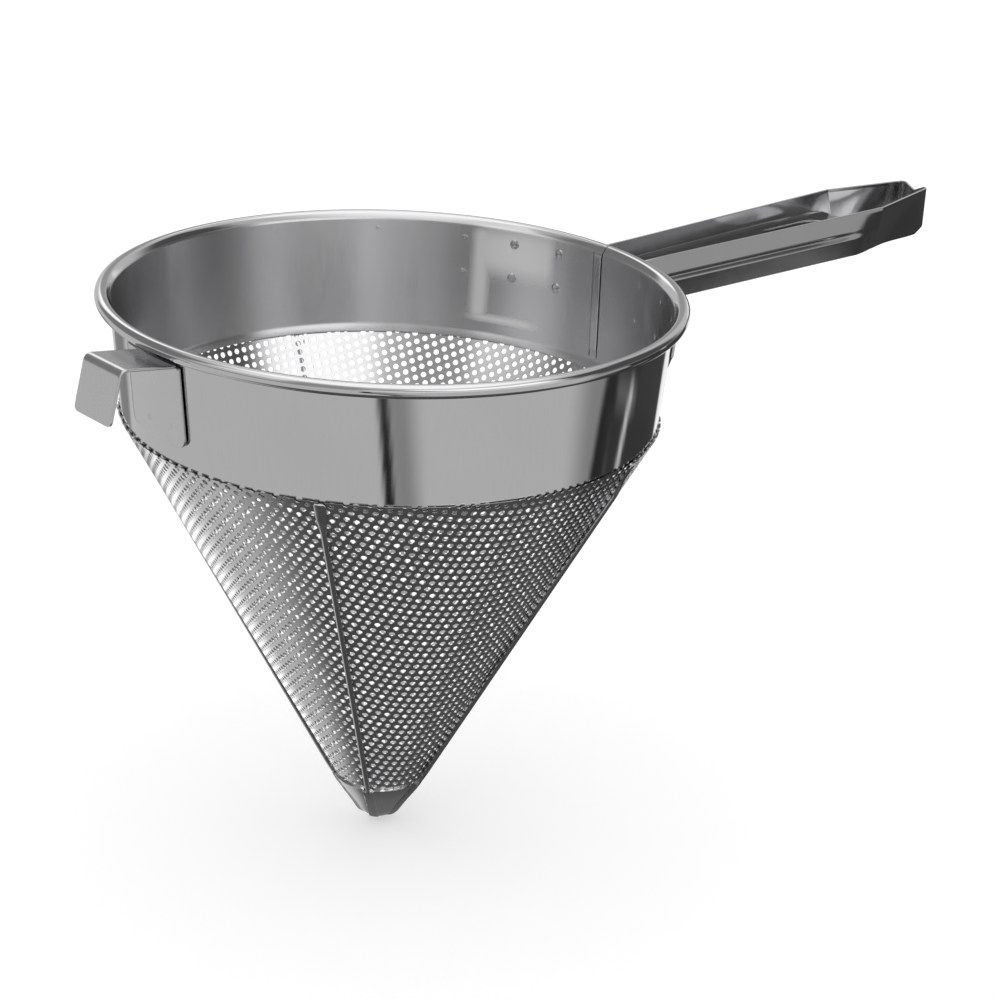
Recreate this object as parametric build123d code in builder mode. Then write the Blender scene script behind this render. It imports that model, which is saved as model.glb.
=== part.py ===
from build123d import *
import os
from math import asin, atan2, cos, degrees, hypot, pi, radians, sin, sqrt, tan

# Conical kitchen strainer in stainless sheet: a perforated cone under a plain band with a rolled rim,
# five wire ribs, a pressed tip cap, a folded sheet handle and a pan hook.
# Millimetres. The origin is the centre of the rim at its crown, +Z is up and +X runs along the handle.

os.makedirs("parts", exist_ok=True)

# Clearance between pieces that lie on each other, and the overrun of cuts
fit_gap = 0.05
overrun = 6.0

# Rolled rim
rim_radius = 130.0
bead_radius = 3.0
rim_flare_depth = 6.0
rim_flare_radius = 4.0
curl_sweep_deg = 300.0

# Band, measured on its outer face, down to the corner where it turns in under the screen
band_sheet = 1.0
band_taper_deg = 4.95
band_depth = 55.4
band_foot_inset = 10.6
band_lip_drop = 3.1
band_bend_radius = 8.0

# Lap strip over the band's seam, inside the band
seam_azimuth_deg = 1.5
seam_strip_width = 5.0
seam_strip_sheet = 0.4
seam_strip_top = 12.0
seam_strip_rise = 5.4

# Perforated cone, which lies on the band's turned-in lip
cone_half_angle_deg = 28.5
screen_sheet = 0.8
screen_edge_rise = 0.7

# Round openings in rows between the ribs, with the open share of the real fine perforation
opening_radius = 10.2
opening_pitch = 28.0

# Ribs, wires that lie on the screen with a flattened end under the band
rib_count = 5
first_rib_azimuth_deg = 4.1
rib_radius = 1.3
rib_end_rise = 0.1
rib_flat_width = 5.0
rib_flat_sheet = 1.2
rib_neck_length = 18.0

# Pressed cap over the cone's tip, with a ridge under each rib
cap_mouth_radius = 19.4
cap_lap = 10.5
cap_sheet = 0.9
cap_nose_radius = 13.0
cap_ridge_width = 4.4
cap_ridge_height = 1.1
cap_ridge_nose_share = 0.72

# Handle strap: two wings on the band, two walls and the closed end
strap_sheet = 1.2
wing_top = 7.0
wing_foot = 33.5
wing_end_deg = 43.0
wing_bend_radius = 5.0
wall_clearance = 3.0
root_past_rim = 20.0
flare_length = 141.0
end_length = 45.5
root_half_width = 15.2
kink_half_width = 20.0
kink_radius = 6.0
end_half_width = 9.0
end_corner_radius = 4.0
handle_rise_deg = 2.26
handle_edge_depth = 9.3
wall_height = 23.0
heel_radius = 5.0
scoop_width = 14.0
scoop_depth = 3.0

# Handle tray: the floor between the walls, with its sides turned down and a hanging slot
tray_sheet = 1.0
tray_side_gap = 0.2
tray_depth = 9.7
tray_flange = 8.0
tray_bend_radius = 1.8
tray_under_rim = 4.0
tray_end_inset = 6.0
slot_inset = 12.0
slot_length = 43.0
slot_width = 20.0

# Pan hook: a plate on the band and a folded arm with a leg
hook_sheet = 1.2
hook_plate_azimuth_deg = 180.4
hook_plate_width = 41.0
hook_plate_top = 9.6
hook_plate_length = 36.0
hook_plate_corner = 5.0
hook_arm_azimuth_deg = 182.6
hook_arm_width = 27.0
hook_arm_start_drop = 0.5
hook_fold_past_rim = 19.4
hook_fold_rise = 3.8
hook_fold_radius = 3.0
hook_leg_lean = 5.5
hook_leg_length = 23.1
hook_leg_corner = 5.0

taper = radians(band_taper_deg)
slant = radians(cone_half_angle_deg)
rise = radians(handle_rise_deg)

# Radii, reaches and depths that follow from these
band_foot_radius = rim_radius - band_foot_inset
band_lip_depth = band_depth + band_lip_drop
seam_strip_foot = band_depth - seam_strip_rise
screen_top = band_depth - screen_edge_rise
cap_top = band_depth + (band_foot_radius - cap_mouth_radius) / tan(slant)
screen_foot = cap_top + cap_lap
rib_top = band_depth - rib_end_rise
open_run = (cap_top - band_lip_depth) / cos(slant)
opening_rows = int(open_run / opening_pitch)
wall_start = rim_radius + wall_clearance
root_reach = rim_radius + root_past_rim
kink_reach = root_reach + flare_length
handle_reach = kink_reach + end_length
tray_start = rim_radius - tray_under_rim
tray_end = kink_reach - tray_end_inset
slot_end = tray_end - slot_inset
slot_start = slot_end - slot_length
hook_plate_foot = hook_plate_top + hook_plate_length
hook_arm_start_depth = hook_plate_top + hook_arm_start_drop
hook_fold_reach = rim_radius + hook_fold_past_rim
hook_fold_depth = hook_arm_start_depth - hook_fold_rise
hook_leg_reach = hook_fold_reach + hook_leg_lean
hook_leg_depth = hook_fold_depth + hook_leg_length


def wall_radius(z, out):
    """Radius at height z of the cone that lies `out` outside the band's outer face."""
    return band_foot_radius + (z + band_depth) * tan(taper) + out / cos(taper)


def cone_radius(z, out):
    """Radius at height z of the cone that lies `out` outside the screen's inner face."""
    return band_foot_radius + (z + band_depth) * tan(slant) + out / cos(slant)


def radial_plane(azimuth_deg):
    """The plane through the axis at an azimuth, with local x outwards and local y up."""
    around = radians(azimuth_deg)
    return Plane((0, 0, 0), x_dir=(cos(around), sin(around), 0), z_dir=(sin(around), -cos(around), 0))


# Band: lip, wall, flare and the curl round the rim wire, as one bent sheet
half_band = band_sheet / 2
curl_center = (rim_radius - bead_radius, -bead_radius)
curl_radius = bead_radius - half_band
flare_foot = (wall_radius(-rim_flare_depth, -half_band), -rim_flare_depth)
lip_out = -fit_gap - half_band
foot_rise = (lip_out / cos(slant) + half_band / cos(taper)) / (tan(taper) - tan(slant))
band_corner = (wall_radius(foot_rise - band_depth, -half_band), foot_rise - band_depth)
lip_end = (cone_radius(-band_lip_depth, lip_out), -band_lip_depth)
to_curl = (curl_center[0] - flare_foot[0], curl_center[1] - flare_foot[1])
curl_distance = hypot(*to_curl)
flare_run = sqrt(curl_distance**2 - curl_radius**2)
flare_angle = atan2(to_curl[1], to_curl[0]) + atan2(curl_radius, flare_run)
flare_end = (flare_foot[0] + flare_run * cos(flare_angle), flare_foot[1] + flare_run * sin(flare_angle))

with BuildPart() as band:
    with BuildSketch(Plane.XZ):
        with BuildLine():
            FilletPolyline(lip_end, band_corner, flare_foot, flare_end, radius=[band_bend_radius, rim_flare_radius])
            CenterArc(curl_center, curl_radius, degrees(flare_angle) + 90, -curl_sweep_deg)
        trace(line_width=band_sheet)
    revolve(axis=Axis.Z)

# Rim wire inside the curl
with BuildPart() as rim_wire:
    with BuildSketch(Plane.XZ):
        with Locations(curl_center):
            Circle(bead_radius - band_sheet - fit_gap)
    revolve(axis=Axis.Z)

# Lap strip on the inside of the band
seam_strip_arc_deg = degrees(seam_strip_width / band_foot_radius)
strip_face = -band_sheet - fit_gap
strip_back = strip_face - seam_strip_sheet
with BuildPart() as seam_strip:
    with BuildSketch(radial_plane(seam_azimuth_deg - seam_strip_arc_deg / 2)):
        with BuildLine():
            Polyline(
                (wall_radius(-seam_strip_top, strip_face), -seam_strip_top),
                (wall_radius(-seam_strip_foot, strip_face), -seam_strip_foot),
                (wall_radius(-seam_strip_foot, strip_back), -seam_strip_foot),
                (wall_radius(-seam_strip_top, strip_back), -seam_strip_top),
                close=True,
            )
        make_face()
    revolve(axis=Axis.Z, revolution_arc=seam_strip_arc_deg)

def opening_planes():
    """Planes at the middles of the screen's openings, facing outwards."""
    planes = []
    for row in range(opening_rows):
        z = -band_lip_depth - (row + 0.5) / opening_rows * open_run * cos(slant)
        radius = cone_radius(z, screen_sheet / 2)
        between_ribs = max(int(2 * pi * radius / rib_count / opening_pitch), 1)
        count = between_ribs * rib_count
        for number in range(count):
            around = radians(first_rib_azimuth_deg + (number + 0.5) * 360 / count)
            center = (radius * cos(around), radius * sin(around), z)
            outward = (cos(slant) * cos(around), cos(slant) * sin(around), -sin(slant))
            planes.append(Plane(center, z_dir=outward))
    return planes


# Screen: a cone of sheet, closed under the first rib, with its openings between the ribs
with BuildPart() as cone_screen:
    with BuildSketch(radial_plane(first_rib_azimuth_deg)):
        with BuildLine():
            Polyline(
                (cone_radius(-screen_top, 0), -screen_top),
                (cone_radius(-screen_foot, 0), -screen_foot),
                (cone_radius(-screen_foot, screen_sheet), -screen_foot),
                (cone_radius(-screen_top, screen_sheet), -screen_top),
                close=True,
            )
        make_face()
    revolve(axis=Axis.Z)
    with BuildSketch(*opening_planes()):
        Circle(opening_radius)
    extrude(amount=overrun, both=True, mode=Mode.SUBTRACT)


def make_rib(number):
    """One rib: a flattened end that lofts into a round wire down the screen's outside."""
    around = radians(first_rib_azimuth_deg + number * 360 / rib_count)
    axis_out = screen_sheet + fit_gap + rib_radius
    start_radius = cone_radius(-rib_top, 0) + axis_out * cos(slant)
    start = (start_radius * cos(around), start_radius * sin(around), -rib_top - axis_out * sin(slant))
    down = (-sin(slant) * cos(around), -sin(slant) * sin(around), -cos(slant))
    section = Plane(start, x_dir=(-sin(around), cos(around), 0), z_dir=down)
    length = (cap_top - rib_top) / cos(slant) - axis_out * tan(slant)
    with BuildPart() as rib:
        with BuildSketch(section):
            with Locations((0, rib_flat_sheet / 2 - rib_radius)):
                Ellipse(rib_flat_width / 2, rib_flat_sheet / 2)
        with BuildSketch(section.offset(rib_neck_length)):
            Circle(rib_radius)
        loft()
        with BuildSketch(section.offset(rib_neck_length)):
            Circle(rib_radius)
        extrude(amount=length - rib_neck_length)
    return rib.part


# Tip cap: a cone skirt and a round nose, with a flat-topped ridge in line with each rib
cap_mid_out = screen_sheet + fit_gap + cap_sheet / 2
ridge_mid_out = screen_sheet + fit_gap + cap_sheet + (cap_ridge_height - cap_sheet / 2) / 2
cap_outer_out = screen_sheet + fit_gap + cap_sheet
nose_z = ((cap_nose_radius - cap_outer_out) / cos(slant) - band_foot_radius) / tan(slant) - band_depth


def cap_path(out, nose_share):
    """The line of the cap's section that lies `out` outside the screen's inner face."""
    radius = cap_nose_radius + out - cap_outer_out
    meeting = (radius * cos(slant), nose_z - radius * sin(slant))
    Line((cone_radius(-cap_top, out), -cap_top), meeting)
    CenterArc((0, nose_z), radius, -cone_half_angle_deg, -(90 - cone_half_angle_deg) * nose_share)


with BuildPart() as tip_cap:
    with BuildSketch(Plane.XZ):
        with BuildLine():
            cap_path(cap_mid_out, 1)
        trace(line_width=cap_sheet)
    revolve(axis=Axis.Z)
    for number in range(rib_count):
        with BuildSketch(radial_plane(first_rib_azimuth_deg + number * 360 / rib_count)):
            with BuildLine():
                cap_path(ridge_mid_out, cap_ridge_nose_share)
            trace(line_width=cap_ridge_height + cap_sheet / 2)
        extrude(amount=cap_ridge_width / 2, both=True)


def wall_half_width(reach):
    """Half width over the handle's walls, which run straight from the root to the kink."""
    flare = (kink_half_width - root_half_width) / (kink_reach - root_reach)
    return root_half_width + max(reach - root_reach, 0) * flare


def edge_height(reach):
    """Height of the handle walls' top edge, which rises away from the band."""
    return reach * tan(rise) - handle_edge_depth


def wing_outline(z):
    """Outline at height z of one wing, its bend and the root of its wall."""
    outer = wall_radius(z, fit_gap) + strap_sheet
    bend_y = root_half_width + wing_bend_radius
    bend_x = sqrt((outer + wing_bend_radius) ** 2 - bend_y**2)
    bend_deg = degrees(atan2(bend_y, bend_x))
    wing_end = radians(wing_end_deg)
    inner = outer - strap_sheet
    inner_y = root_half_width - strap_sheet
    CenterArc((0, 0), outer, wing_end_deg, bend_deg - wing_end_deg)
    CenterArc((bend_x, bend_y), wing_bend_radius, bend_deg + 180, 90 - bend_deg)
    Line((bend_x, root_half_width), (root_reach, root_half_width))
    Line((root_reach, root_half_width), (root_reach, inner_y))
    Line((root_reach, inner_y), (bend_x, inner_y))
    CenterArc((bend_x, bend_y), wing_bend_radius + strap_sheet, 270, bend_deg - 90)
    CenterArc((0, 0), inner, bend_deg, wing_end_deg - bend_deg)
    Line((inner * cos(wing_end), inner * sin(wing_end)), (outer * cos(wing_end), outer * sin(wing_end)))


# Handle strap
heel_depth = handle_edge_depth + wall_height
scoop_radius = (scoop_width**2 / 4 + scoop_depth**2) / (2 * scoop_depth)
with BuildPart() as handle_strap:
    # Walls in plan, open at the band
    with BuildSketch(Plane.XY.offset(-heel_depth)):
        with BuildLine():
            Polyline(
                (wall_start - overrun, root_half_width),
                (root_reach, root_half_width),
                (kink_reach, kink_half_width),
                (handle_reach, end_half_width),
                (handle_reach, -end_half_width),
                (kink_reach, -kink_half_width),
                (root_reach, -root_half_width),
                (wall_start - overrun, -root_half_width),
                close=True,
            )
        walls = make_face()
        fillet(walls.vertices().group_by(Axis.X)[-1], end_corner_radius)
        fillet(walls.vertices().group_by(Axis.Y)[0] + walls.vertices().group_by(Axis.Y)[-1], kink_radius)
        offset(amount=-strap_sheet, mode=Mode.SUBTRACT)
        with Locations((wall_start - overrun, 0)):
            Rectangle(2 * overrun, 2 * kink_half_width, mode=Mode.SUBTRACT)
    extrude(amount=heel_depth + edge_height(handle_reach) + overrun)
    # Side view of the walls
    with BuildSketch(Plane.XZ):
        with BuildLine():
            Polyline(
                (wall_start, edge_height(wall_start)),
                (handle_reach, edge_height(handle_reach)),
                (handle_reach, edge_height(handle_reach) - wall_height),
                (wall_start, edge_height(wall_start) - wall_height),
                close=True,
            )
        side_view = make_face()
        fillet(side_view.vertices().group_by(Axis.X)[-1].sort_by(Axis.Y)[:1], heel_radius)
    extrude(amount=kink_half_width + overrun, both=True, mode=Mode.INTERSECT)
    # Dip in the end's top edge
    with BuildSketch(Plane.YZ.offset(handle_reach - 2 * strap_sheet)):
        with Locations((0, edge_height(handle_reach) - scoop_depth + scoop_radius)):
            Circle(scoop_radius)
    extrude(amount=overrun, mode=Mode.SUBTRACT)
    # Wing, bend and root on one side, then its mirror image
    with BuildSketch(Plane.XY.offset(-wing_foot)):
        with BuildLine():
            wing_outline(-wing_foot)
        make_face()
    with BuildSketch(Plane.XY.offset(-wing_top)):
        with BuildLine():
            wing_outline(-wing_top)
        make_face()
    root = loft(ruled=True)
    mirror(root, about=Plane.XZ)
    # Lower edge that slopes from the wings up to the walls
    with BuildSketch(Plane.XZ):
        with BuildLine():
            Polyline(
                (wall_start, -wing_foot),
                (root_reach + overrun, edge_height(root_reach) - wall_height),
                (root_reach + overrun, -wing_foot - overrun),
                (wall_start, -wing_foot - overrun),
                close=True,
            )
        make_face()
    extrude(amount=root_half_width + overrun, both=True, mode=Mode.SUBTRACT)

handle_plane = Plane((0, 0, -handle_edge_depth), x_dir=(cos(rise), 0, sin(rise)), z_dir=(-sin(rise), 0, cos(rise)))


def tray_outline(start, end, inset):
    """Plan of the tray between the walls, `inset` inside its own sides."""
    clear = strap_sheet + tray_side_gap + inset
    root_side = root_half_width - clear
    end_side = wall_half_width(end) - clear
    Polyline(
        (start, root_side),
        (root_reach, root_side),
        (end, end_side),
        (end, -end_side),
        (root_reach, -root_side),
        (start, -root_side),
        close=True,
    )


# Handle tray
with BuildPart() as handle_tray:
    with BuildSketch(handle_plane.offset(-tray_depth)):
        with BuildLine():
            tray_outline(tray_start, tray_end, 0)
        make_face()
    extrude(amount=-tray_flange)
    side_edges = handle_tray.faces().sort_by(Axis.Z)[-1].edges()
    fillet(side_edges.filter_by(lambda edge: abs(edge.center().Y) > slot_width / 2), tray_bend_radius)
    with BuildSketch(handle_plane.offset(-tray_depth - tray_sheet)):
        with BuildLine():
            tray_outline(tray_start - overrun, tray_end + overrun, tray_sheet)
        make_face()
    extrude(amount=-tray_flange, mode=Mode.SUBTRACT)
    with BuildSketch(handle_plane.offset(-tray_depth)):
        with Locations(((slot_start + slot_end) / 2, 0)):
            SlotOverall(slot_end - slot_start, slot_width)
    extrude(amount=-tray_flange, mode=Mode.SUBTRACT)

# Pan hook
hook_plate_around = radians(hook_plate_azimuth_deg)
hook_plate_arc_deg = 2 * degrees(asin(hook_plate_width / 2 / band_foot_radius))
hook_plate_face = Plane(
    (0, 0, -(hook_plate_top + hook_plate_foot) / 2),
    x_dir=(-sin(hook_plate_around), cos(hook_plate_around), 0),
    z_dir=(cos(hook_plate_around), sin(hook_plate_around), 0),
)
with BuildPart() as hook:
    # Plate on the band, with its lower corners rounded
    with BuildSketch(radial_plane(hook_plate_azimuth_deg - hook_plate_arc_deg / 2)):
        with BuildLine():
            Polyline(
                (wall_radius(-hook_plate_top, fit_gap), -hook_plate_top),
                (wall_radius(-hook_plate_foot, fit_gap), -hook_plate_foot),
                (wall_radius(-hook_plate_foot, fit_gap + hook_sheet), -hook_plate_foot),
                (wall_radius(-hook_plate_top, fit_gap + hook_sheet), -hook_plate_top),
                close=True,
            )
        make_face()
    revolve(axis=Axis.Z, revolution_arc=hook_plate_arc_deg)
    with BuildSketch(hook_plate_face):
        plate = Rectangle(hook_plate_width, hook_plate_foot - hook_plate_top)
        fillet(plate.vertices().group_by(Axis.Y)[0], hook_plate_corner)
    extrude(amount=rim_radius, mode=Mode.INTERSECT)
    # Arm and leg, one bent sheet
    with BuildSketch(radial_plane(hook_arm_azimuth_deg)):
        with BuildLine():
            FilletPolyline(
                (band_foot_radius, -hook_arm_start_depth),
                (hook_fold_reach, -hook_fold_depth),
                (hook_leg_reach, -hook_leg_depth),
                radius=hook_fold_radius,
            )
        trace(line_width=hook_sheet)
    extrude(amount=hook_arm_width / 2, both=True)
    leg_corners = hook.edges().filter_by(lambda edge: edge.length < 2 * hook_sheet)
    fillet(leg_corners.sort_by(Axis.X)[:2], hook_leg_corner)
    # Room for the band
    with BuildSketch(Plane.XZ):
        with BuildLine():
            Polyline(
                (0, overrun),
                (wall_radius(overrun, fit_gap), overrun),
                (wall_radius(-hook_plate_foot - overrun, fit_gap), -hook_plate_foot - overrun),
                (0, -hook_plate_foot - overrun),
                close=True,
            )
        make_face()
    revolve(axis=Axis.Z, mode=Mode.SUBTRACT)

# Labels and files
pieces = {
    "band": band.part,
    "rim_wire": rim_wire.part,
    "seam_strip": seam_strip.part,
    "cone_screen": cone_screen.part,
    "tip_cap": tip_cap.part,
    "handle_strap": handle_strap.part,
    "handle_tray": handle_tray.part,
    "hook": hook.part,
}
for number in range(rib_count):
    pieces[f"rib_{number + 1}"] = make_rib(number)
for name, piece in pieces.items():
    piece.label = name
    export_step(piece, f"parts/{name}.step")
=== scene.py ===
import bmesh
import bpy
from functools import partial
from math import acos, asin, atan2, ceil, cos, degrees, hypot, pi, radians, sin, sqrt, tan
from mathutils import Matrix, Vector


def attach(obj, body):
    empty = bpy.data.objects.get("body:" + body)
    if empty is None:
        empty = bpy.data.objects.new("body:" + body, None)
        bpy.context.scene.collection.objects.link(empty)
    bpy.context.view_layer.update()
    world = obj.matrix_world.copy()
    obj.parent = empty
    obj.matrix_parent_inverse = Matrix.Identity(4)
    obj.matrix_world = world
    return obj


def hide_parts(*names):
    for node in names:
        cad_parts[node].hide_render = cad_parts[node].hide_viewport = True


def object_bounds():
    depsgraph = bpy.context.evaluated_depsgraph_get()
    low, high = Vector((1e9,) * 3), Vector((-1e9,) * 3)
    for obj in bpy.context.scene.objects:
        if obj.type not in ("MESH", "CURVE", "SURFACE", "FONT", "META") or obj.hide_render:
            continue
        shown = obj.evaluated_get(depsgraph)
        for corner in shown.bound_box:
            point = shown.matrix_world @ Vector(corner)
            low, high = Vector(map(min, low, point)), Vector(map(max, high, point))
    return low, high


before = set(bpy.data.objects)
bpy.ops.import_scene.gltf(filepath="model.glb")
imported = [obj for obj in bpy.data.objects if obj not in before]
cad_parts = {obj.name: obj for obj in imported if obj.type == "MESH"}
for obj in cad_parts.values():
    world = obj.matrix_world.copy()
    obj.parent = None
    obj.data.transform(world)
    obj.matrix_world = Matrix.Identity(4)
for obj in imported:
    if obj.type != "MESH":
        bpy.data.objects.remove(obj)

# A polished steel chinois: band with a rolled rim, perforated cone, ribs, tip cap, folded handle, pan hook.
# Lengths are in millimetres and become metres when a mesh is made. +Z is up and +X runs along the handle.
MM = 0.001
cad_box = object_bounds()
scene = bpy.context.scene

# Sizes shared with the part
fit_gap = 0.05
rim_radius = 130.0
bead_radius = 3.0
curl_sweep = radians(300)
band_sheet = 1.0
taper = radians(4.95)
band_depth = 55.4
band_foot_radius = 119.4
band_lip_depth = 58.5
slant = radians(28.5)
screen_sheet = 0.8
screen_top = 54.7
rib_count = 5
first_rib = radians(4.1)
rib_radius = 1.3
rib_top = 55.3
cap_mouth_radius = 19.4
cap_sheet = 0.9
cap_nose_radius = 13.0
cap_top = band_depth + (band_foot_radius - cap_mouth_radius) / tan(slant)
screen_foot = cap_top + 10.5
strap_sheet = 1.2
rise = radians(2.26)
edge_depth = 9.3
wall_height = 23.0
root_reach = 150.0
kink_reach = 291.0
handle_reach = 336.5
root_half_width = 15.2
kink_half_width = 20.0
end_half_width = 9.0
hook_sheet = 1.2

# The seam's lap strip reaches higher than the part's and leans, from azimuth 0 at its foot
seam_top = 4.6
seam_foot = 50.0
seam_lean_deg = 2.4


def wall_radius(z, out):
    """Radius at height z of the cone that lies `out` outside the band's outer face."""
    return band_foot_radius + (z + band_depth) * tan(taper) + out / cos(taper)


def cone_radius(z, out):
    """Radius at height z of the cone that lies `out` outside the screen's inner face."""
    return band_foot_radius + (z + band_depth) * tan(slant) + out / cos(slant)


def edge_height(reach):
    """Height of the handle walls' top edge, which rises away from the band."""
    return reach * tan(rise) - edge_depth


def smooth(value, low, high):
    """0 below low, 1 above high, with a soft step between them."""
    share = min(max((value - low) / (high - low), 0.0), 1.0)
    return share * share * (3 - 2 * share)


def corner_cut(corner, into):
    """How far a round corner draws in a plate's edge, at a distance past the corner's start."""
    return corner - sqrt(max(corner**2 - max(into, 0) ** 2, 0))


def turned(radius, azimuth, z):
    """The place at a radius, an azimuth and a height."""
    return (radius * cos(azimuth), radius * sin(azimuth), z)


# Camera, at the photograph's viewing angle
camera_place = Vector((-600.8, -803.2, 310.2)) * MM
camera_right = Vector((0.7806, -0.6232, 0.0469)).normalized()
camera_back = Vector((-0.5916, -0.7125, 0.3774)).normalized()
camera_data = bpy.data.cameras.new("camera")
camera_data.lens = 85.8
camera_data.sensor_width = 36.0
camera_data.clip_end = 20.0
camera = bpy.data.objects.new("camera", camera_data)
camera_up = camera_back.cross(camera_right).normalized()
camera_right = camera_up.cross(camera_back).normalized()
camera_turn = Matrix((camera_right, camera_up, camera_back)).transposed().to_4x4()
camera.matrix_world = Matrix.Translation(camera_place) @ camera_turn
scene.collection.objects.link(camera)
scene.camera = camera


# Shop helpers: paths, sheets and spun shapes
def rounded_path(points, radii, steps=8):
    """Points along straight runs whose corners are rounded by arcs of the given radii."""
    path = [points[0]]
    for before, corner, after, radius in zip(points, points[1:], points[2:], radii):
        a, b, c = Vector(before), Vector(corner), Vector(after)
        inward, outward = (a - b).normalized(), (c - b).normalized()
        half = acos(max(min(inward.dot(outward), 1), -1)) / 2
        reach = radius / tan(half)
        center = b + (inward + outward).normalized() * radius / sin(half)
        start, end = b + inward * reach - center, b + outward * reach - center
        sweep = pi - 2 * half
        for step in range(steps + 1):
            share = step / steps
            arc = start * sin((1 - share) * sweep) / sin(sweep) + end * sin(share * sweep) / sin(sweep)
            path.append(tuple(center + arc))
    path.append(points[-1])
    return path


def sheet_outline(path, sheet):
    """Closed outline of a sheet that follows a path, with rounded ends."""
    normals = []
    for index in range(len(path)):
        before = Vector(path[max(index - 1, 0)])
        after = Vector(path[min(index + 1, len(path) - 1)])
        run = (after - before).normalized()
        normals.append(Vector((-run.y, run.x)))
    half = sheet / 2
    left = [tuple(Vector(p) + n * half) for p, n in zip(path, normals)]
    right = [tuple(Vector(p) - n * half) for p, n in zip(path, normals)]
    end_round, start_round = [], []
    for step in range(1, 4):
        turn = pi * step / 4
        n, run = normals[-1], Vector((normals[-1].y, -normals[-1].x))
        end_round.append(tuple(Vector(path[-1]) + n * half * cos(turn) + run * half * sin(turn)))
        n, run = normals[0], Vector((-normals[0].y, normals[0].x))
        start_round.append(tuple(Vector(path[0]) - n * half * cos(turn) + run * half * sin(turn)))
    return left + end_round + right[::-1] + start_round


def mesh_object(name, vertices, faces):
    """A new object from vertices in millimetres."""
    mesh = bpy.data.meshes.new(name)
    mesh.from_pydata([tuple(Vector(v) * MM) for v in vertices], [], faces)
    made = bpy.data.objects.new(name, mesh)
    scene.collection.objects.link(made)
    return made


def tidy_mesh(made, sharp_deg=35.0):
    """Merges doubles, turns faces outwards and smooths all but the sharp edges."""
    merge_distance = 0.001
    body = bmesh.new()
    body.from_mesh(made.data)
    bmesh.ops.remove_doubles(body, verts=body.verts, dist=merge_distance * MM)
    bmesh.ops.recalc_face_normals(body, faces=body.faces)
    body.to_mesh(made.data)
    body.free()
    for polygon in made.data.polygons:
        polygon.use_smooth = True
    made.data.set_sharp_from_angle(angle=radians(sharp_deg))


def sheet_piece(made, sheet, offset, bevel=0.3):
    """Gives an open surface its sheet thickness and softened edges."""
    thick = made.modifiers.new("sheet", "SOLIDIFY")
    thick.thickness = sheet * MM
    thick.offset = offset
    thick.use_even_offset = True
    soft = made.modifiers.new("edges", "BEVEL")
    soft.width = bevel * MM
    soft.segments = 2
    soft.limit_method = "ANGLE"
    soft.angle_limit = radians(50)


def flatten(made):
    """Turns an object's modifiers into plain mesh."""
    bpy.context.view_layer.update()
    graph = bpy.context.evaluated_depsgraph_get()
    mesh = bpy.data.meshes.new_from_object(made.evaluated_get(graph))
    old = made.data
    made.modifiers.clear()
    made.data = mesh
    bpy.data.meshes.remove(old)


def grid_faces(rows, columns, wrap=False):
    """Quads of a grid of rows by columns, closed round the columns if asked."""
    faces = []
    for row in range(rows - 1):
        here, ahead = row * columns, (row + 1) * columns
        for column in range(columns if wrap else columns - 1):
            right = (column + 1) % columns
            faces.append((here + column, here + right, ahead + right, ahead + column))
    return faces


def spun(name, outline, azimuths):
    """A closed outline of (radius, z) points turned all the way round."""
    vertices = [turned(r, azimuth, z) for azimuth in azimuths for r, z in outline]
    count, around = len(outline), len(azimuths)
    faces = []
    for turn in range(around):
        here, ahead = turn * count, (turn + 1) % around * count
        for index in range(count):
            following = (index + 1) % count
            faces.append((here + index, here + following, ahead + following, ahead + index))
    return mesh_object(name, vertices, faces)


def add_to_body(made, material, slot, *nodes):
    """Gives a piece its material and its place on the body, and hides the part's nodes that it stands for.
    """
    made.data.materials.clear()
    made.data.materials.append(material)
    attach(made, "root")
    if nodes:
        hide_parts(*nodes)


# Steel finishes
def new_group(name, inputs, outputs, kind_of_tree="ShaderNodeTree"):
    """A node group with its named sockets, its input node and its output node."""
    group = bpy.data.node_groups.new(name, kind_of_tree)
    for label, kind, value in inputs:
        socket = group.interface.new_socket(label, in_out="INPUT", socket_type=kind)
        if value is not None:
            socket.default_value = value
    for label, kind in outputs:
        group.interface.new_socket(label, in_out="OUTPUT", socket_type=kind)
    return group, group.nodes.new("NodeGroupInput"), group.nodes.new("NodeGroupOutput")


def tree_math(tree, operation, *values):
    """A Math node whose inputs are sockets or numbers; gives its output."""
    made = tree.nodes.new("ShaderNodeMath")
    made.operation = operation
    for socket, value in zip(made.inputs, values):
        if isinstance(value, (int, float)):
            socket.default_value = value
        else:
            tree.links.new(value, socket)
    return made.outputs[0]


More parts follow.
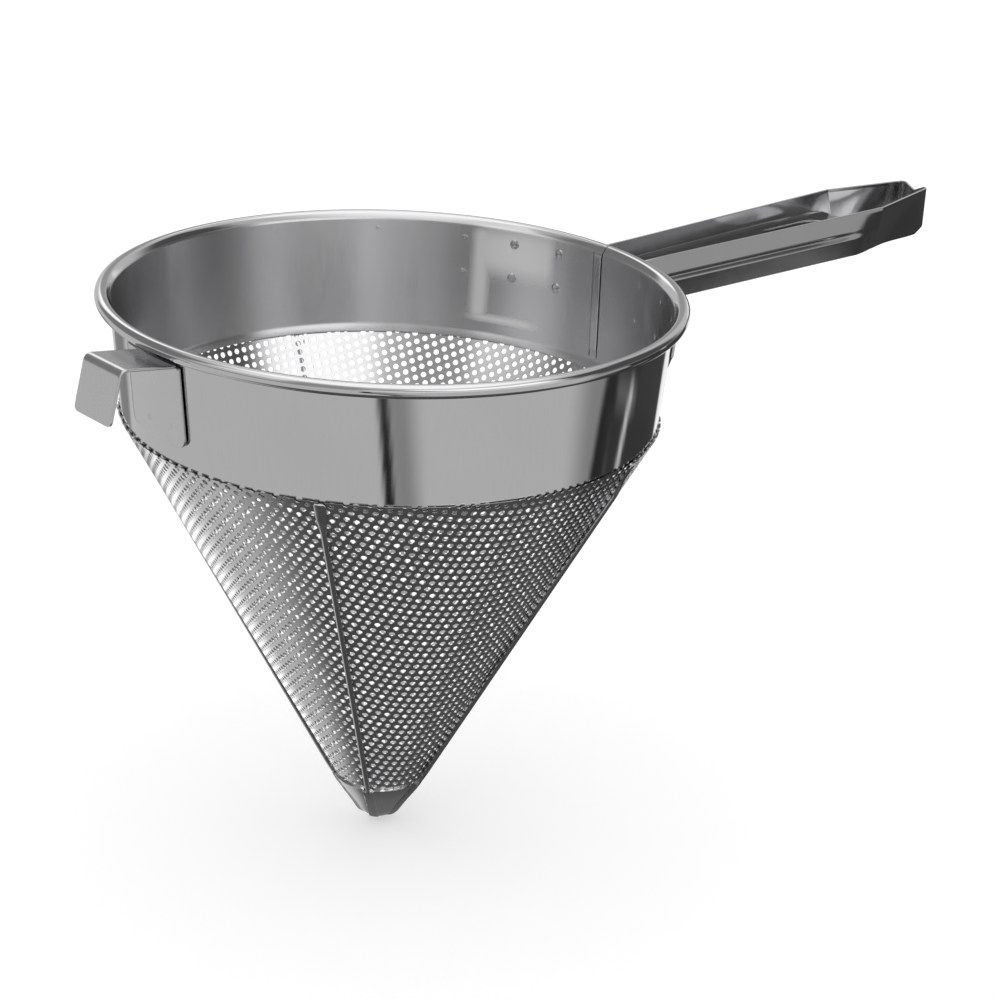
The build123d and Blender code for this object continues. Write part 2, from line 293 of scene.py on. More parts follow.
def rolled_sheet_group():
    """Colour, roughness and height of polished sheet, from soft clouds and fine rolling lines."""
    group, given, made = new_group(
        "rolled_sheet",
        [
            ("Place", "NodeSocketVector", None),
            ("Light", "NodeSocketColor", (0.64, 0.64, 0.645, 1)),
            ("Dark", "NodeSocketColor", (0.56, 0.56, 0.57, 1)),
            ("Cloud scale", "NodeSocketFloat", 18.0),
            ("Line scale", "NodeSocketFloat", 900.0),
            ("Smoothest", "NodeSocketFloat", 0.05),
            ("Roughest", "NodeSocketFloat", 0.12),
            ("Wave", "NodeSocketFloat", 1.0),
            ("Grain", "NodeSocketFloat", 0.0),
        ],
        [("Color", "NodeSocketColor"), ("Roughness", "NodeSocketFloat"), ("Height", "NodeSocketFloat")],
    )
    nodes, links = group.nodes, group.links
    clouds = nodes.new("ShaderNodeTexNoise")
    clouds.inputs["Detail"].default_value = 3
    links.new(given.outputs["Place"], clouds.inputs["Vector"])
    links.new(given.outputs["Cloud scale"], clouds.inputs["Scale"])
    stretch = nodes.new("ShaderNodeMapping")
    stretch.inputs["Scale"].default_value = (1, 1, 0.02)
    links.new(given.outputs["Place"], stretch.inputs["Vector"])
    lines = nodes.new("ShaderNodeTexNoise")
    lines.inputs["Detail"].default_value = 2
    links.new(stretch.outputs["Vector"], lines.inputs["Vector"])
    links.new(given.outputs["Line scale"], lines.inputs["Scale"])
    blend = nodes.new("ShaderNodeMix")
    blend.inputs["Factor"].default_value = 0.35
    links.new(clouds.outputs["Fac"], blend.inputs[2])
    links.new(lines.outputs["Fac"], blend.inputs[3])
    colour = nodes.new("ShaderNodeMix")
    colour.data_type = "RGBA"
    links.new(blend.outputs[0], colour.inputs["Factor"])
    links.new(given.outputs["Dark"], colour.inputs[6])
    links.new(given.outputs["Light"], colour.inputs[7])
    links.new(colour.outputs[2], made.inputs["Color"])
    rough = nodes.new("ShaderNodeMapRange")
    rough.inputs["From Min"].default_value = 0.3
    rough.inputs["From Max"].default_value = 0.7
    links.new(blend.outputs[0], rough.inputs["Value"])
    links.new(given.outputs["Smoothest"], rough.inputs["To Min"])
    links.new(given.outputs["Roughest"], rough.inputs["To Max"])
    links.new(rough.outputs["Result"], made.inputs["Roughness"])
    wave = tree_math(group, "MULTIPLY", clouds.outputs["Fac"], given.outputs["Wave"])
    height = tree_math(group, "MULTIPLY_ADD", lines.outputs["Fac"], given.outputs["Grain"], wave)
    links.new(height, made.inputs["Height"])
    return group


rolled_sheet = rolled_sheet_group()


def steel(name, **values):
    """A polished steel finish on the rolled sheet's pattern."""
    relief_depth = 0.02
    material = bpy.data.materials.new(name)
    material.use_nodes = True
    nodes, links = material.node_tree.nodes, material.node_tree.links
    shader = nodes["Principled BSDF"]
    shader.inputs["Metallic"].default_value = 1.0
    place = nodes.new("ShaderNodeTexCoord")
    pattern = nodes.new("ShaderNodeGroup")
    pattern.node_tree = rolled_sheet
    for label, value in values.items():
        pattern.inputs[label.replace("_", " ")].default_value = value
    links.new(place.outputs["Object"], pattern.inputs["Place"])
    relief = nodes.new("ShaderNodeBump")
    relief.inputs["Distance"].default_value = relief_depth * MM
    links.new(pattern.outputs["Height"], relief.inputs["Height"])
    links.new(pattern.outputs["Color"], shader.inputs["Base Color"])
    links.new(pattern.outputs["Roughness"], shader.inputs["Roughness"])
    links.new(relief.outputs["Normal"], shader.inputs["Normal"])
    return material


def soft_mask(tree, value, low, high, edge):
    """1 where a value lies between low and high, with soft edges."""
    masks = []
    for start, end in ((low - edge, low + edge), (high + edge, high - edge)):
        step = tree.nodes.new("ShaderNodeMapRange")
        step.interpolation_type = "SMOOTHSTEP"
        step.inputs["From Min"].default_value = start
        step.inputs["From Max"].default_value = end
        tree.links.new(value, step.inputs["Value"])
        masks.append(step.outputs["Result"])
    return tree_math(tree, "MULTIPLY", *masks)


def axis_distance(tree, x, y):
    """Distance of a place from the cone's axis, in a node tree."""
    squares = [tree_math(tree, "MULTIPLY", side, side) for side in (x, y)]
    return tree_math(tree, "SQRT", tree_math(tree, "ADD", *squares))


def tinted(tree, share, base, tint):
    """A base colour that gives way to a tint where the share is 1."""
    mix = tree.nodes.new("ShaderNodeMix")
    mix.data_type = "RGBA"
    tree.links.new(share, mix.inputs["Factor"])
    tree.links.new(base, mix.inputs[6])
    mix.inputs[7].default_value = tint
    return mix.outputs[2]


def band_finish():
    """Mirror steel, brushed inside, hazy over the handle's wing and darkened along the seam, partly by grime
    and partly by painted shade of the strip's edges.
    """
    haze_rough, inside_rough, seam_line_rough = 0.25, 0.17, 0.4
    strip_half_deg, brushed, along_rings = 1.28, 0.95, 0.25
    material = steel("band_steel", Smoothest=0.04, Roughest=0.09, Wave=3.0)
    tree = material.node_tree
    work = partial(tree_math, tree)
    mask = partial(soft_mask, tree)
    shader = tree.nodes["Principled BSDF"]
    place = tree.nodes.new("ShaderNodeTexCoord")
    parts = tree.nodes.new("ShaderNodeSeparateXYZ")
    tree.links.new(place.outputs["Object"], parts.inputs["Vector"])
    x, y, z = parts.outputs
    azimuth = work("MULTIPLY", work("ARCTAN2", y, x), 180 / pi)
    height = work("DIVIDE", z, MM)

    def patch(right, left, side_edge, low, high, edge):
        """1 between two azimuths in degrees and two heights, with soft edges."""
        return work("MULTIPLY", mask(azimuth, right, left, side_edge), mask(height, low, high, edge))

    reach = work("DIVIDE", axis_distance(tree, x, y), MM)
    without_taper = work("SUBTRACT", reach, work("MULTIPLY", height, tan(taper)))
    inside = mask(without_taper, 100.0, wall_radius(0, -band_sheet / 2), 0.05)
    upper = patch(15.5, 34.0, 1.5, -24.0, -5.0, 7.0)
    column = patch(31.5, 35.0, 1.5, -48.0, -5.0, 3.0)
    foot = patch(19.0, 35.0, 3.0, -49.5, -46.5, 1.5)
    haze = work("MULTIPLY", inside, work("MAXIMUM", upper, work("MAXIMUM", column, foot)))
    lean = work("MULTIPLY", work("ADD", height, seam_foot), -seam_lean_deg / (seam_foot - seam_top))
    from_middle = work("ABSOLUTE", work("ADD", azimuth, lean))
    from_edge = work("ABSOLUTE", work("SUBTRACT", from_middle, strip_half_deg))
    # Lines along the seam strip's edges and its butt, tinted dark below: partly grime in the joint, partly
    # painted shade of the strip's edges.
    along_strip = work("MULTIPLY", mask(from_edge, -1.0, 0.14, 0.06), mask(height, -53.0, -4.0, 1.0))
    butt = patch(0.9, 1.15, 0.06, -7.0, 1.0, 0.3)
    groove = work("MAXIMUM", work("MULTIPLY", inside, along_strip), butt)
    pattern = next(node for node in tree.nodes if node.type == "GROUP")
    rough = pattern.outputs["Roughness"]
    for share, extra in ((haze, haze_rough), (inside, inside_rough), (groove, seam_line_rough)):
        rough = work("ADD", rough, work("MULTIPLY", share, extra))
    tree.links.new(rough, shader.inputs["Roughness"])
    pale = tinted(tree, haze, pattern.outputs["Color"], (1.0, 1.0, 1.0, 1))
    # Near-black tint on the seam lines: partly grime, partly painted shade where the lap strip's edges meet
    # the band.
    tree.links.new(tinted(tree, groove, pale, (0.05, 0.05, 0.05, 1)), shader.inputs["Base Color"])
    around = tree.nodes.new("ShaderNodeTangent")
    around.direction_type = "RADIAL"
    around.axis = "Z"
    tree.links.new(around.outputs["Tangent"], shader.inputs["Tangent"])
    shader.inputs["Anisotropic Rotation"].default_value = along_rings
    tree.links.new(work("MULTIPLY", inside, brushed), shader.inputs["Anisotropic"])
    return material


mirror_steel = steel("mirror_steel", Smoothest=0.04, Roughest=0.09, Wave=3.0)
band_steel = band_finish()
screen_steel = steel("screen_steel", Cloud_scale=60.0, Smoothest=0.12, Roughest=0.24, Wave=1.5)
handle_steel = steel("handle_steel", Cloud_scale=30.0, Smoothest=0.08, Roughest=0.18)
hook_steel = steel("hook_steel", Cloud_scale=60.0, Smoothest=0.18, Roughest=0.30, Grain=0.02)
wire_steel = steel("wire_steel", Cloud_scale=120.0, Smoothest=0.10, Roughest=0.22)
cap_steel = steel("cap_steel", Cloud_scale=90.0, Smoothest=0.10, Roughest=0.22, Wave=2.0)

# Band: lip, wall, flare and curl. The flare under the bead is shorter than the part's.
half_band = band_sheet / 2
rim_flare_depth = 3.7
lip_bend, flare_bend = 5.0, 1.2
curl_center = (rim_radius - bead_radius, -bead_radius)
curl_radius = bead_radius - half_band
flare_foot = (wall_radius(-rim_flare_depth, -half_band), -rim_flare_depth)
lip_out = -fit_gap - half_band
foot_rise = (lip_out / cos(slant) + half_band / cos(taper)) / (tan(taper) - tan(slant))
band_corner = (wall_radius(foot_rise - band_depth, -half_band), foot_rise - band_depth)
lip_end = (cone_radius(-band_lip_depth, lip_out), -band_lip_depth)
to_curl = (curl_center[0] - flare_foot[0], curl_center[1] - flare_foot[1])
flare_run = sqrt(hypot(*to_curl) ** 2 - curl_radius**2)
flare_angle = atan2(to_curl[1], to_curl[0]) + atan2(curl_radius, flare_run)
flare_end = (flare_foot[0] + flare_run * cos(flare_angle), flare_foot[1] + flare_run * sin(flare_angle))
curl_steps = 40


def make_band():
    """The band's sheet, from the end of its lip round the curl, turned all the way round."""
    path = rounded_path([lip_end, band_corner, flare_foot, flare_end], [lip_bend, flare_bend])
    for step in range(1, curl_steps + 1):
        angle = flare_angle + pi / 2 - curl_sweep * step / curl_steps
        path.append((curl_center[0] + curl_radius * cos(angle), curl_center[1] + curl_radius * sin(angle)))
    around = 360
    band = spun("band", sheet_outline(path, band_sheet), [2 * pi * turn / around for turn in range(around)])
    tidy_mesh(band)
    add_to_body(band, band_steel, "polished_sheet", "band")


make_band()

# Perforated cone, from a flat lattice of punched cells rolled up in the cone's development
hole_radius = 1.4
row_pitch = 6.396
row_step = 5.564
row_angle = radians(23.95)
lattice_reference = radians(-126.8)
lattice_shift = (0.199, 1.139)
hole_sides = 12
pressed_sheet = 0.5
cone_apex = -band_depth - (band_foot_radius + screen_sheet / cos(slant)) / tan(slant)
slant_top = (-screen_top - cone_apex) / cos(slant)
slant_foot = (-screen_foot - cone_apex) / cos(slant)


def punched_cell():
    """One cell of the lattice: a rhombus with a round hole through the sheet."""
    along = Vector((cos(row_angle), sin(row_angle))) * row_pitch / 2
    across = Vector((-sin(row_angle), cos(row_angle))) * row_step / 2
    corners = [along, across, -along, -across]
    sides = hole_sides // 4
    border, hole = [], []
    for index in range(hole_sides):
        corner, share = index // sides, (index % sides) / sides
        border.append(corners[corner].lerp(corners[(corner + 1) % 4], share))
        turn = row_angle + 2 * pi * index / hole_sides
        hole.append(Vector((cos(turn), sin(turn))) * hole_radius)
    vertices, faces = [], []
    for height in (0.0, -pressed_sheet):
        vertices += [(p.x, p.y, height) for p in border + hole]
    top_hole, low_border, low_hole = hole_sides, 2 * hole_sides, 3 * hole_sides
    for index in range(hole_sides):
        ahead = (index + 1) % hole_sides
        faces.append((index, ahead, top_hole + ahead, top_hole + index))
        faces.append((low_border + ahead, low_border + index, low_hole + index, low_hole + ahead))
        faces.append((top_hole + index, top_hole + ahead, low_hole + ahead, low_hole + index))
    return mesh_object("punched_cell", vertices, faces)


def place_copies(tree, points, original):
    """Puts copies of an object on points; gives the placing node and the realised copies."""
    info = tree.nodes.new("GeometryNodeObjectInfo")
    info.inputs["Object"].default_value = original
    placed = tree.nodes.new("GeometryNodeInstanceOnPoints")
    tree.links.new(points, placed.inputs["Points"])
    tree.links.new(info.outputs["Geometry"], placed.inputs["Instance"])
    real = tree.nodes.new("GeometryNodeRealizeInstances")
    tree.links.new(placed.outputs["Instances"], real.inputs["Geometry"])
    return placed, real.outputs["Geometry"]


def give_finish(tree, geometry, material, result):
    """Ends a Geometry Nodes tree with its material."""
    finish = tree.nodes.new("GeometryNodeSetMaterial")
    finish.inputs["Material"].default_value = material
    tree.links.new(geometry, finish.inputs["Geometry"])
    tree.links.new(finish.outputs["Geometry"], result)


def rolled_screen_tree(cell, material):
    """Punched cells on lattice points, realised and rolled up into the cone."""
    tree, given, made = new_group(
        "rolled_screen",
        [
            ("Lattice", "NodeSocketGeometry", None),
            ("Cone slant", "NodeSocketFloat", None),
            ("Apex height", "NodeSocketFloat", None),
            ("Start azimuth", "NodeSocketFloat", None),
        ],
        [("Screen", "NodeSocketGeometry")],
        "GeometryNodeTree",
    )
    work = partial(tree_math, tree)
    cells = place_copies(tree, given.outputs["Lattice"], cell)[1]
    joined = tree.nodes.new("GeometryNodeMergeByDistance")
    joined.inputs["Distance"].default_value = 0.01 * MM
    tree.links.new(cells, joined.inputs["Geometry"])
    place = tree.nodes.new("GeometryNodeInputPosition")
    parts = tree.nodes.new("ShaderNodeSeparateXYZ")
    tree.links.new(place.outputs["Position"], parts.inputs["Vector"])
    flat_x, flat_y, lift = parts.outputs
    slant_in = given.outputs["Cone slant"]
    sine, cosine = work("SINE", slant_in), work("COSINE", slant_in)
    reach = axis_distance(tree, flat_x, flat_y)
    fan = work("ARCTAN2", flat_x, flat_y)
    azimuth = work("ADD", work("DIVIDE", fan, sine), given.outputs["Start azimuth"])
    radius = work("ADD", work("MULTIPLY", reach, sine), work("MULTIPLY", lift, cosine))
    on_cone = work("ADD", work("MULTIPLY", reach, cosine), given.outputs["Apex height"])
    height = work("SUBTRACT", on_cone, work("MULTIPLY", lift, sine))
    rolled = tree.nodes.new("ShaderNodeCombineXYZ")
    tree.links.new(work("MULTIPLY", radius, work("COSINE", azimuth)), rolled.inputs["X"])
    tree.links.new(work("MULTIPLY", radius, work("SINE", azimuth)), rolled.inputs["Y"])
    tree.links.new(height, rolled.inputs["Z"])
    moved = tree.nodes.new("GeometryNodeSetPosition")
    tree.links.new(joined.outputs["Geometry"], moved.inputs["Geometry"])
    tree.links.new(rolled.outputs["Vector"], moved.inputs["Position"])
    give_finish(tree, moved.outputs["Geometry"], material, made.inputs["Screen"])
    return tree


def set_inputs(modifier, **values):
    """Sets a Geometry Nodes modifier's inputs by their sockets' identifiers."""
    for item in modifier.node_group.interface.items_tree:
        label = item.name.replace(" ", "_")
        if item.item_type == "SOCKET" and item.in_out == "INPUT" and label in values:
            modifier[item.identifier] = values[label]


def trim(body, point, normal):
    """Cuts a closed mesh by a plane, drops what lies on the normal's side and closes the cut."""
    everything = body.verts[:] + body.edges[:] + body.faces[:]
    cut = bmesh.ops.bisect_plane(
        body, geom=everything, dist=0.0001 * MM, plane_co=point, plane_no=normal, clear_outer=True
    )
    open_edges = [e for e in cut["geom_cut"] if isinstance(e, bmesh.types.BMEdge) and e.is_boundary]
    bmesh.ops.holes_fill(body, edges=open_edges, sides=0)


def make_screen():
    """The perforated cone in five panels, each cut from the rolled lattice between two ribs."""
    cell = punched_cell()
    tree = rolled_screen_tree(cell, screen_steel)
    along = Vector((cos(row_angle), sin(row_angle))) * row_pitch
    across = Vector((-sin(row_angle), cos(row_angle))) * row_step
    span = ceil(slant_top / min(row_pitch, row_step)) + 1
    margin = row_pitch
    panel_arc = 2 * pi / rib_count
    seam = first_rib - 2 * pi
    for panel in range(rib_count):
        start = seam + panel * panel_arc
        fan_start = (start - lattice_reference) * sin(slant)
        fan_end = (start + panel_arc - lattice_reference) * sin(slant)
        points = []
        for row in range(-2 * span, 2 * span):
            for column in range(-2 * span, 2 * span):
                share = row / 2
                flat = along * (column + (share % 1)) + across * share + Vector(lattice_shift)
                distance = flat.length
                if not slant_foot - margin < distance < slant_top + margin:
                    continue
                fan = atan2(flat.x, flat.y)
                spread = margin / distance
                for whole in (-2 * pi, 0, 2 * pi):
                    if fan_start - spread < fan + whole < fan_end + spread:
                        points.append((flat.x, flat.y, 0))
        screen = mesh_object(f"screen_panel_{panel + 1}", points, [])
        modifier = screen.modifiers.new("rolled screen", "NODES")
        modifier.node_group = tree
        set_inputs(modifier, Cone_slant=slant, Apex_height=cone_apex * MM, Start_azimuth=lattice_reference)
        flatten(screen)
        body = bmesh.new()
        body.from_mesh(screen.data)
        trim(body, (0, 0, -screen_top * MM), (0, 0, 1))
        trim(body, (0, 0, -screen_foot * MM), (0, 0, -1))
        trim(body, (0, 0, 0), (sin(start), -cos(start), 0))
        trim(body, (0, 0, 0), (-sin(start + panel_arc), cos(start + panel_arc), 0))
        body.to_mesh(screen.data)
        body.free()
        tidy_mesh(screen)
        add_to_body(screen, screen_steel, "perforated_sheet", "cone_screen")
    bpy.data.objects.remove(cell)


make_screen()


def make_ribs():
    """Wires down the outside of the cone, each with a flattened end under the band."""
    neck, flat_half, flat_thick, tip_share = 18.0, 2.6, 0.6, 0.82
    sides, stations = 20, 60
    length = (cap_top - rib_top) / cos(slant) - 1.0
    upper_run = neck * 1.2
    for number in range(rib_count):
        azimuth = first_rib + number * 2 * pi / rib_count
        outward = Vector((cos(slant) * cos(azimuth), cos(slant) * sin(azimuth), -sin(slant)))
        sideways = Vector((-sin(azimuth), cos(azimuth), 0))
        down = Vector((-sin(slant) * cos(azimuth), -sin(slant) * sin(azimuth), -cos(slant)))
        start = Vector(turned(cone_radius(-rib_top, screen_sheet + fit_gap), azimuth, -rib_top))
        vertices = []
        for station in range(stations + 1):
            share = station / stations
            if share < 0.5:
                run = upper_run * share * 2
            else:
                run = upper_run + (length - upper_run) * (share - 0.5) * 2
            wire = smooth(run, 0.4 * neck, neck)
            half_width = flat_half + (rib_radius - flat_half) * wire
            half_thick = flat_thick + (rib_radius - flat_thick) * wire
            end_round = 1.0 if 0 < station < stations else tip_share
            center = start + down * run + outward * half_thick
            for side in range(sides):
                turn = 2 * pi * side / sides
                across = sideways * cos(turn) * half_width * end_round
                vertices.append(center + across + outward * sin(turn) * half_thick * end_round)
        faces = grid_faces(stations + 1, sides, wrap=True)
        faces.append(tuple(range(sides)))
        faces.append(tuple(stations * sides + side for side in range(sides)))
        rib = mesh_object(f"rib_wire_{number + 1}", vertices, faces)
        tidy_mesh(rib, 50)
        add_to_body(rib, wire_steel, "wire", f"rib_{number + 1}")


make_ribs()


def make_cap():
    """Pressed cap: a cone skirt and a round nose, raised in a ridge in line with each rib."""
    ridge_half, ridge_height, narrowing, nose_lift = 2.5, 1.3, 0.1, 1.5
    around, skirt_steps, nose_steps = 300, 16, 14
    outer = screen_sheet + fit_gap + cap_sheet
    nose_z = ((cap_nose_radius - outer) / cos(slant) - band_foot_radius) / tan(slant) - band_depth
    meeting_z = nose_z - cap_nose_radius * sin(slant)
    stations = []
    for step in range(skirt_steps + 1):
        z = -cap_top + (meeting_z + cap_top) * step / skirt_steps
        stations.append((cone_radius(z, outer), z, cos(slant), -sin(slant), 1.0))
    for step in range(1, nose_steps + 1):
        angle = -slant - (pi / 2 - slant) * step / nose_steps
        fade = 1 - smooth(step / nose_steps, 0.15, 0.6)
        r, z = cap_nose_radius * cos(angle), nose_z + cap_nose_radius * sin(angle)
        stations.append((r, z, cos(angle), sin(angle), fade))
    vertices = []
    for side in (0, 1):
        for r, z, out_r, out_z, fade in stations[::-1] if side else stations:
            low = smooth(-z, cap_top, cap_top + 24.0)
            for turn in range(around):
                azimuth = 2 * pi * turn / around
                nearest = (azimuth - first_rib) % (2 * pi / rib_count)
                nearest = min(nearest, 2 * pi / rib_count - nearest)
                sideways = max(r, 0.1) * nearest
                lift = ridge_height * fade * (1 - smooth(sideways, ridge_half * 0.75, ridge_half * 1.05))
                depth = lift - (cap_sheet if side else 0)
                radius = max(r + out_r * depth, 0.0005) * (1 - narrowing * low)
                vertices.append(turned(radius, azimuth, z + out_z * depth + nose_lift * low))
    rows = 2 * len(stations)
    faces = grid_faces(rows, around, wrap=True)
    last = (rows - 1) * around
    for turn in range(around):
        ahead = (turn + 1) % around
        faces.append((last + turn, last + ahead, ahead, turn))
    cap = mesh_object("tip_cap", vertices, faces)
    tidy_mesh(cap, 40)
    add_to_body(cap, cap_steel, "pressed_cap", "tip_cap")


make_cap()


def make_hook():
    """Pan hook: a plate that follows the band and a folded arm with a leg."""
    plate_azimuth, plate_half, plate_top, plate_foot, corner = radians(180.4), 20.5, 9.6, 45.6, 5.0
    lifted_edge, rows, columns = 0.6, 40, 24
    vertices = []
    for row in range(rows + 1):
        depth = plate_top + (plate_foot - plate_top) * row / rows
        half = plate_half - corner_cut(corner, depth - (plate_foot - corner))
        radius = wall_radius(-depth, fit_gap + hook_sheet)
        for column in range(columns + 1):
            across = half * (2 * column / columns - 1)
            lift = lifted_edge * smooth(across, 10.0, plate_half)
            vertices.append(turned(radius + lift, plate_azimuth + asin(across / radius), -depth))
    plate = mesh_object("hook_plate", vertices, grid_faces(rows + 1, columns + 1))
    sheet_piece(plate, hook_sheet, -1)
    arm_azimuth, arm_half, leg_corner, fold_radius = radians(182.6), 13.5, 2.5, 3.0
    start, fold, leg = (124.5, -9.45), (149.4, -6.3), (154.9, -29.4)
    path = rounded_path([start, fold, leg], [fold_radius], 10)
    fine = []
    for before, after in zip(path, path[1:]):
        pieces = max(int((Vector(after) - Vector(before)).length / 0.8), 1)
        fine += [tuple(Vector(before).lerp(Vector(after), piece / pieces)) for piece in range(pieces)]
    fine.append(path[-1])
    total = sum((Vector(b) - Vector(a)).length for a, b in zip(fine, fine[1:]))
    vertices = []
    travelled = 0.0
    for index, point in enumerate(fine):
        if index:
            travelled += (Vector(point) - Vector(fine[index - 1])).length
        half = arm_half - corner_cut(leg_corner, travelled - (total - leg_corner))
        for column in range(columns + 1):
            across = half * (2 * column / columns - 1)
            reach = point[0] if index else sqrt(start[0] ** 2 - across**2)
            x = reach * cos(arm_azimuth) - across * sin(arm_azimuth)
            y = reach * sin(arm_azimuth) + across * cos(arm_azimuth)
            vertices.append((x, y, point[1]))
    arm = mesh_object("hook_arm", vertices, grid_faces(len(fine), columns + 1))
    sheet_piece(arm, hook_sheet, 0)
    for piece in (plate, arm):
        tidy_mesh(piece, 40)
        add_to_body(piece, hook_steel, "handle_sheet", "hook")


make_hook()


def wall_half_width(reach):
    """Half width over the handle's walls between the root and the kink."""
    flare = (kink_half_width - root_half_width) / (kink_reach - root_reach)
    return root_half_width + max(reach - root_reach, 0) * flare


def strap_path(z):
    """Half of the strap's mid line at height z: the wing and its bend, then the wall and half the end."""
    wing_end, bend_radius, wing_steps, bend_steps = radians(43), 5.0, 36, 12
    lifted_end, root_bend, kink_bend, end_bend = 0.6, 60.0, 5.0, 3.0
    half = strap_sheet / 2
    outer = wall_radius(z, fit_gap) + strap_sheet
    bend_y = root_half_width + bend_radius
    bend_x = sqrt((outer + bend_radius) ** 2 - bend_y**2)
    bend_azimuth = atan2(bend_y, bend_x)
    points = []
    for step in range(wing_steps):
        azimuth = wing_end + (bend_azimuth - wing_end) * step / wing_steps
        middle = outer - half + lifted_end * smooth(degrees(azimuth), 38.0, 43.0)
        points.append((middle * cos(azimuth), middle * sin(azimuth)))
    for step in range(bend_steps + 1):
        turn = bend_azimuth + pi + (pi / 2 - bend_azimuth) * step / bend_steps
        points.append((bend_x + (bend_radius + half) * cos(turn), bend_y + (bend_radius + half) * sin(turn)))
    corners = [
        (bend_x, root_half_width - half),
        (root_reach, root_half_width - half),
        (kink_reach, kink_half_width - half),
        (handle_reach - half, end_half_width - half),
        (handle_reach - half, 0),
    ]
    run = rounded_path(corners, [root_bend, kink_bend, end_bend])[1:]
    fine = []
    last = Vector(points[-1])
    for point in run:
        gap = (Vector(point) - last).length
        pieces = max(round(gap / 6.0), 1)
        fine += [tuple(last.lerp(Vector(point), (piece + 1) / pieces)) for piece in range(pieces)]
        last = Vector(point)
    return points, fine


def make_strap():
    """Handle strap: wings on the band, walls with a crease and a bead, and the closed end."""
    wing_top, wing_foot, levels = 7.0, 33.5, 84
    crease_top, crease_foot, crease_depth = 8.9, 11.2, 0.9
    bead_foot, bead_swell, lean, end_lean = 13.5, 0.75, tan(radians(14)), tan(radians(15))
    end_dip, end_heel, root_dip = 3.0, 4.0, 3.0
    wing, run = strap_path(-wing_top)
    count = len(wing) + len(run)
    rows = []
    for index in range(count):
        column = []
        for level in range(levels + 1):
            share = level / levels
            if index < len(wing):
                azimuth = atan2(wing[index][1], wing[index][0])
                taper_end = smooth(degrees(azimuth), 36.0, 43.0)
                top, foot = -wing_top - 1.5 * taper_end, -wing_foot + 10.0 * taper_end
                z = top + (foot - top) * share
                x, y = strap_path(z)[0][index]
            else:
                x, y = run[index - len(wing)]
                heel = smooth(x, handle_reach - 7.0, handle_reach)
                middle = max(1 - abs(y) / 7.0, 0) if x > handle_reach - 2 else 0
                dip = end_dip * smooth(middle, 0, 1)
                rooted = 1 - smooth(x, 128.0, 146.0)
                top = edge_height(x) - dip - root_dip * (1 - smooth(x, 131.5, 134.0))
                foot = edge_height(x) - wall_height + end_heel * heel
                foot = foot + (-wing_foot - foot) * rooted
                z = top + (foot - top) * share
                below = edge_height(x) - z
                form = smooth(x, 140.0, 158.0) * (1 - smooth(x, kink_reach - 60.0, kink_reach - 4.0))
                groove = -crease_depth * smooth(below, crease_top, crease_foot)
                swell = bead_swell * smooth(below, crease_foot, bead_foot)
                inward = -max(below - bead_foot, 0) * lean
                leaning = smooth(x, kink_reach - 12.0, kink_reach)
                twist = end_lean * (1 - smooth(x, kink_reach + 8.0, handle_reach - 4.0))
                y += (groove + swell) * form + inward * smooth(x, 140.0, 158.0) * (1 - leaning)
                y -= max(below - 1.5, 0) * twist * leaning
            column.append((x, y, z))
        rows.append(column)
    mirrored = [[(x, -y, z) for x, y, z in column] for column in rows[-2::-1]]
    everything = rows + mirrored
    vertices = [vertex for column in everything for vertex in column]
    strap = mesh_object("handle_strap", vertices, grid_faces(len(everything), levels + 1))
    tidy_mesh(strap, 40)
    sheet_piece(strap, strap_sheet, 0)
    flatten(strap)
    tidy_mesh(strap, 40)
    add_to_body(strap, handle_steel, "handle_sheet", "handle_strap")


make_strap()


def make_tray():
    """Handle tray: a floor with turned-down sides and a long hanging slot with round ends."""
    sheet, gap, depth, flange, bend = 1.0, 0.2, 9.7, 8.0, 2.6
    start, end, slot_start, slot_end, slot_half = 126.0, 285.0, 230.0, 273.0, 10.0
    slot_run = slot_end - slot_start - 2 * slot_half
    stations = [start + (slot_start - start) * step / 30 for step in range(30)]
    stations += [slot_start + slot_half * (1 - cos(pi / 2 * step / 12)) for step in range(12)]
    stations += [slot_start + slot_half + slot_run * step / 10 for step in range(10)]
    stations += [slot_end - slot_half + slot_half * sin(pi / 2 * step / 12) for step in range(12)]
    stations += [slot_end + (end - slot_end) * step / 4 for step in range(5)]
    across_steps, bend_steps = 6, 6
    vertices, faces = [], []
    columns = across_steps + 1 + bend_steps + 1
    for side in (1, -1):
        first = len(vertices)
        for reach in stations:
            opening = 0.0
            if slot_start < reach < slot_end:
                nearest = min(max(reach, slot_start + slot_half), slot_end - slot_half)
                opening = sqrt(max(slot_half**2 - (reach - nearest) ** 2, 0))
            outer = wall_half_width(reach) - strap_sheet - gap
            flat = outer - bend
            top_z = edge_height(reach) - depth
            for step in range(across_steps + 1):
                vertices.append((reach, side * (opening + (flat - opening) * step / across_steps), top_z))
            for step in range(1, bend_steps + 1):
                turn = pi / 2 * step / bend_steps
                vertices.append((reach, side * (flat + bend * sin(turn)), top_z - bend * (1 - cos(turn))))
            vertices.append((reach, side * outer, top_z - flange))
        for face in grid_faces(len(stations), columns):
            faces.append(tuple(first + corner for corner in face))
    tray = mesh_object("handle_tray", vertices, faces)
    tidy_mesh(tray, 40)
    sheet_piece(tray, sheet, -1, 0.2)
    flatten(tray)
    tidy_mesh(tray, 40)
    add_to_body(tray, handle_steel, "handle_sheet", "handle_tray")


make_tray()


